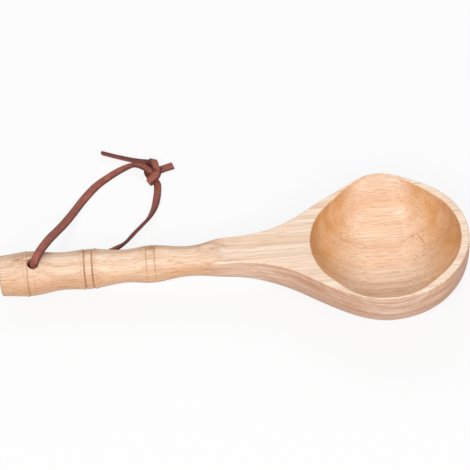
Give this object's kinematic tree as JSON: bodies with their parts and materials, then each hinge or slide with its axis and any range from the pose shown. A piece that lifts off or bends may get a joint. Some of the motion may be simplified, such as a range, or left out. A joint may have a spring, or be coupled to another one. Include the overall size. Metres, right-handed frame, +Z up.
{
  "type": "wooden spoon",
  "caption": "Carved wooden ladle spoon with a deep round bowl, a pouring lip on each side, a bamboo-shaped handle and a knotted leather hanging thong.",
  "frame": {"origin": "middle of the wooden spoon's bounding box, at the surface it lies on", "axes": "+X from the handle to the bowl, +Y to the side where the thong lies, +Z up out of the bowl"},
  "size_m": [0.2802, 0.167, 0.0408],
  "materials": {
    "wood": "sanded and oiled, satin",
    "leather": "matte, with raw cut edges"
  },
  "bodies": {
    "spoon": {"spoon_body": "wood"},
    "loop": {"thong_in_hole": "leather", "thong_front_strand": "leather", "thong_under_handle": "leather", "thong_back_strand": "leather", "thong_knot": "leather", "thong_long_tail": "leather", "thong_short_tail": "leather"}
  },
  "joints": [
    {"name": "loop_swing", "type": "hinge", "parent": "spoon", "child": "loop", "pos_m": [-0.1192, -0.0034, 0.015], "axis": [0, 0, 1], "range_deg": [-25, 180]}
  ]
}
